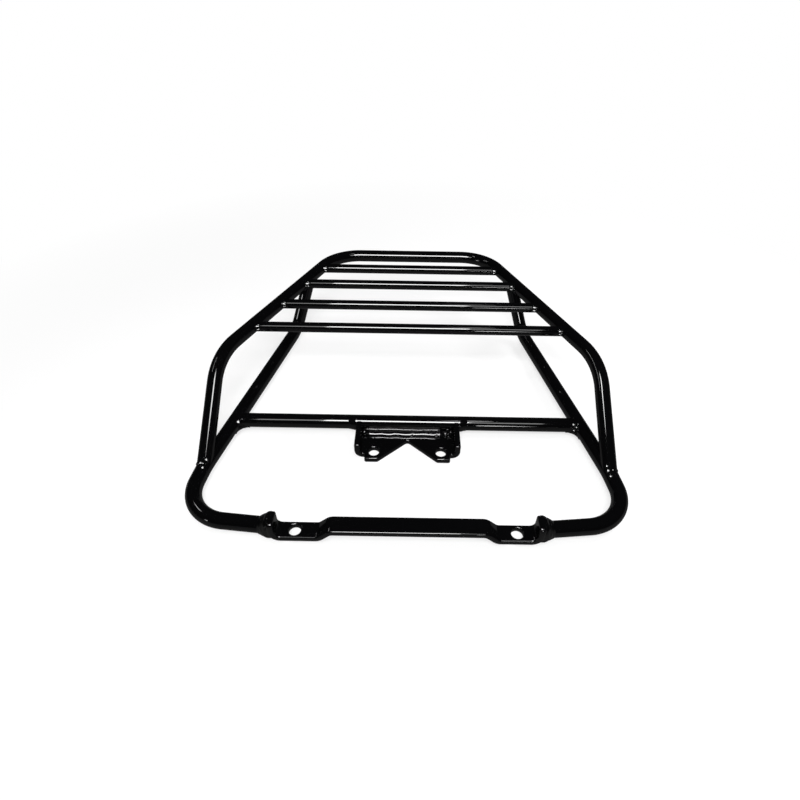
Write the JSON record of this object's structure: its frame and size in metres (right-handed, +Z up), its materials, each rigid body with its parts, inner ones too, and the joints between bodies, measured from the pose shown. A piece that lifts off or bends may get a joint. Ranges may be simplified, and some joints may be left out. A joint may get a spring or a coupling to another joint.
{
  "type": "rear luggage carrier",
  "caption": "Rigid welded tube carrier: a slatted luggage deck raised over a tapered base frame, with a bolt-on front strap and a notched mounting bracket.",
  "frame": {"origin": "midway between the two bolt holes of the front strap, on the strap's underside", "axes": "+X across the carrier to the right as seen from the strap, +Y rearward from the strap towards the deck's closed end, +Z up, square to the strap's underside"},
  "size_m": [0.3494, 0.3531, 0.0652],
  "materials": {
    "black_enamel": "gloss",
    "weld_enamel": "gloss over rippled weld"
  },
  "bodies": {
    "root": {"side_tube_left": "black_enamel", "side_tube_right": "black_enamel", "cross_tube": "black_enamel", "front_strap": "black_enamel", "mounting_bracket": "black_enamel", "deck_tube": "black_enamel", "slat_1": "black_enamel", "slat_2": "black_enamel", "slat_3": "black_enamel", "slat_4": "black_enamel", "strap_weld_left": "weld_enamel", "strap_weld_right": "weld_enamel", "leg_weld_left": "weld_enamel", "leg_weld_right": "weld_enamel", "post_weld_left": "weld_enamel", "post_weld_right": "weld_enamel", "cross_tube_welds": "weld_enamel", "bracket_welds": "weld_enamel", "slat_1_welds": "weld_enamel", "slat_2_welds": "weld_enamel", "slat_3_welds": "weld_enamel", "slat_4_welds": "weld_enamel"}
  },
  "joints": []
}
